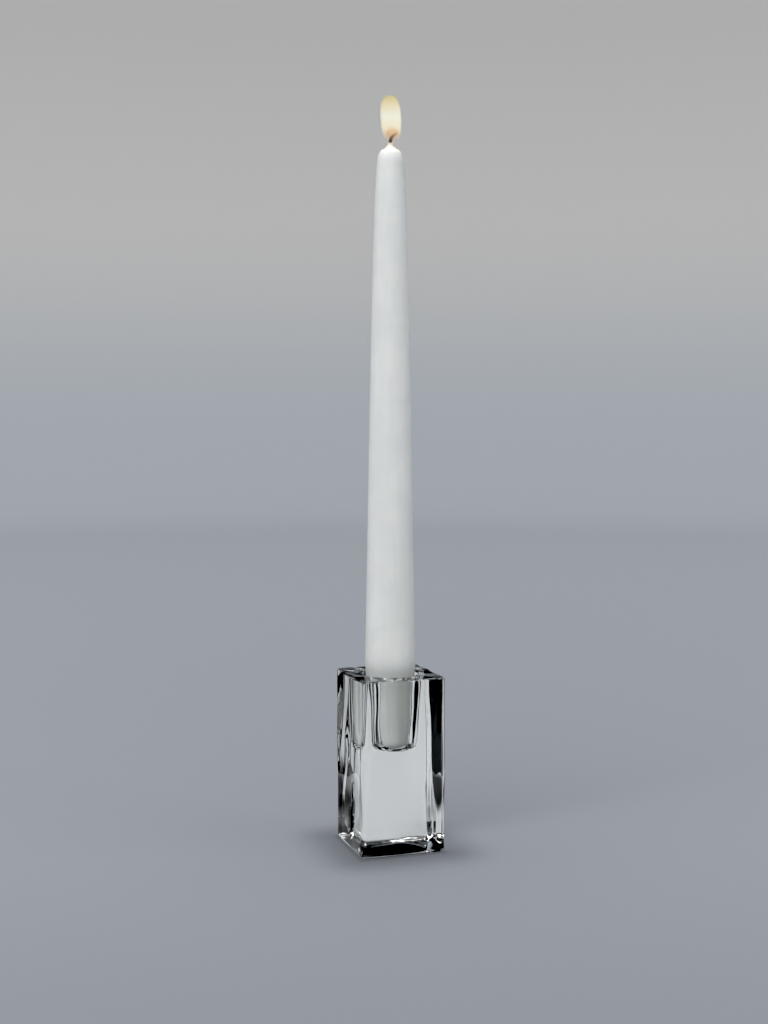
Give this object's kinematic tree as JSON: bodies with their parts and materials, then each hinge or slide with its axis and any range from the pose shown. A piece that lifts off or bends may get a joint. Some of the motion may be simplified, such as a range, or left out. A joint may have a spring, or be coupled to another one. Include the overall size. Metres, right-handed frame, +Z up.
{
  "type": "glass candlestick",
  "caption": "Square block candlestick of clear pressed glass with a tapered socket, holding a tall ivory taper candle with a curled cotton wick.",
  "frame": {"origin": "middle of the block's foot, on the surface it stands on", "axes": "+Z up along the candle, +X and +Y square to the block's flat sides, with the wick curling towards +X"},
  "size_m": [0.04, 0.04, 0.3238],
  "materials": {
    "clear_glass": "polished",
    "wax": "satin",
    "wick_cotton": "matte"
  },
  "bodies": {
    "holder": {"glass_block": "clear_glass"},
    "taper": {"candle": "wax", "wick": "wick_cotton"}
  },
  "joints": [
    {"name": "candle_lift", "type": "slide", "parent": "holder", "child": "taper", "axis": [0, 0, 1], "range_m": [0, 0.04]}
  ]
}
